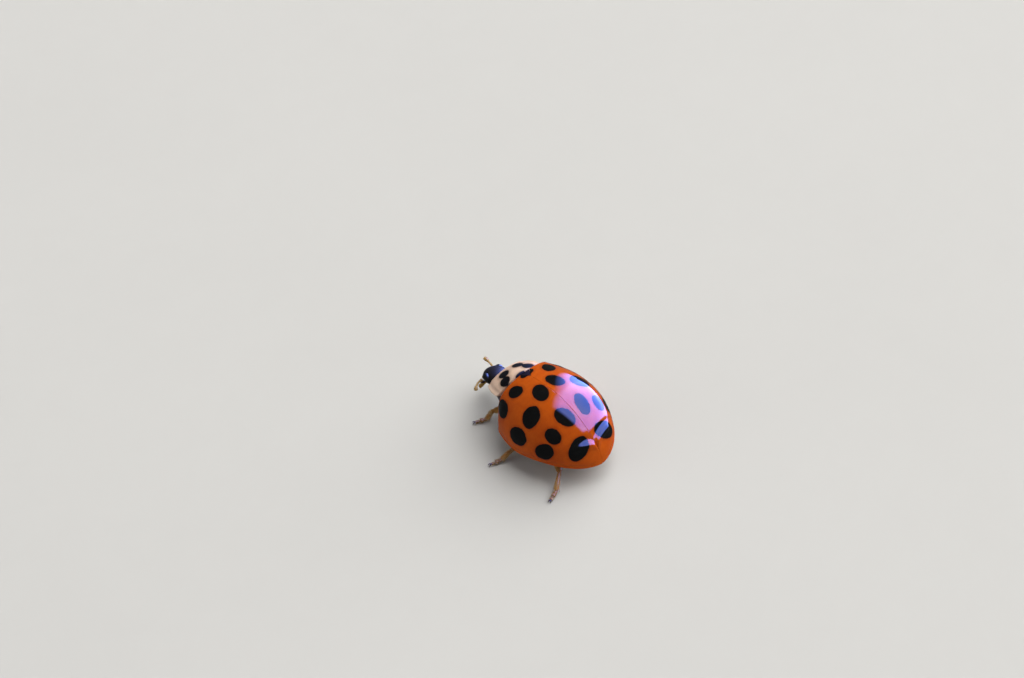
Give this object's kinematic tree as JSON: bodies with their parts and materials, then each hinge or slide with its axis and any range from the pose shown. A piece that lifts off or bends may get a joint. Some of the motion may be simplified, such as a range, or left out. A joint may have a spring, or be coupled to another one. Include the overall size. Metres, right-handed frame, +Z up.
{
  "type": "ladybird",
  "caption": "Spotted orange ladybird beetle standing with its wing cases closed, a life-size still model divided into its named parts.",
  "frame": {"origin": "on the floor under the middle of the whole animal's bounding box", "axes": "+Z up; the animal looks along -Y; +X is its own left side"},
  "size_m": [0.0064, 0.0086, 0.0034],
  "materials": {
    "wing_cases": "glossy orange with black spots",
    "scutellum_plate": "glossy black",
    "shield": "glossy cream with black marks",
    "head_shell": "glossy black with a pale front",
    "eyes": "glossy black, finely faceted",
    "mouthparts": "satin yellow-brown",
    "thorax_underside": "satin dark brown",
    "belly_plates": "satin orange-brown",
    "legs": "satin yellow-brown",
    "feet": "satin brown, bristled"
  },
  "bodies": {
    "root": {"elytron_left": "wing_cases", "elytron_right": "wing_cases", "scutellum": "scutellum_plate", "pronotum": "shield", "head": "head_shell", "eye_left": "eyes", "eye_right": "eyes", "labrum": "mouthparts", "palp_left": "mouthparts", "palp_right": "mouthparts", "antenna_left": "mouthparts", "antenna_right": "mouthparts", "prosternum": "thorax_underside", "thorax": "thorax_underside", "abdomen_1": "belly_plates", "abdomen_2": "belly_plates", "abdomen_3": "belly_plates", "abdomen_4": "belly_plates", "abdomen_5": "belly_plates", "femur_front_left": "legs", "tibia_front_left": "legs", "tarsus_front_left": "feet", "femur_middle_left": "legs", "tibia_middle_left": "legs", "tarsus_middle_left": "feet", "femur_hind_left": "legs", "tibia_hind_left": "legs", "tarsus_hind_left": "feet", "femur_front_right": "legs", "tibia_front_right": "legs", "tarsus_front_right": "feet", "femur_middle_right": "legs", "tibia_middle_right": "legs", "tarsus_middle_right": "feet", "femur_hind_right": "legs", "tibia_hind_right": "legs", "tarsus_hind_right": "feet"}
  },
  "joints": []
}
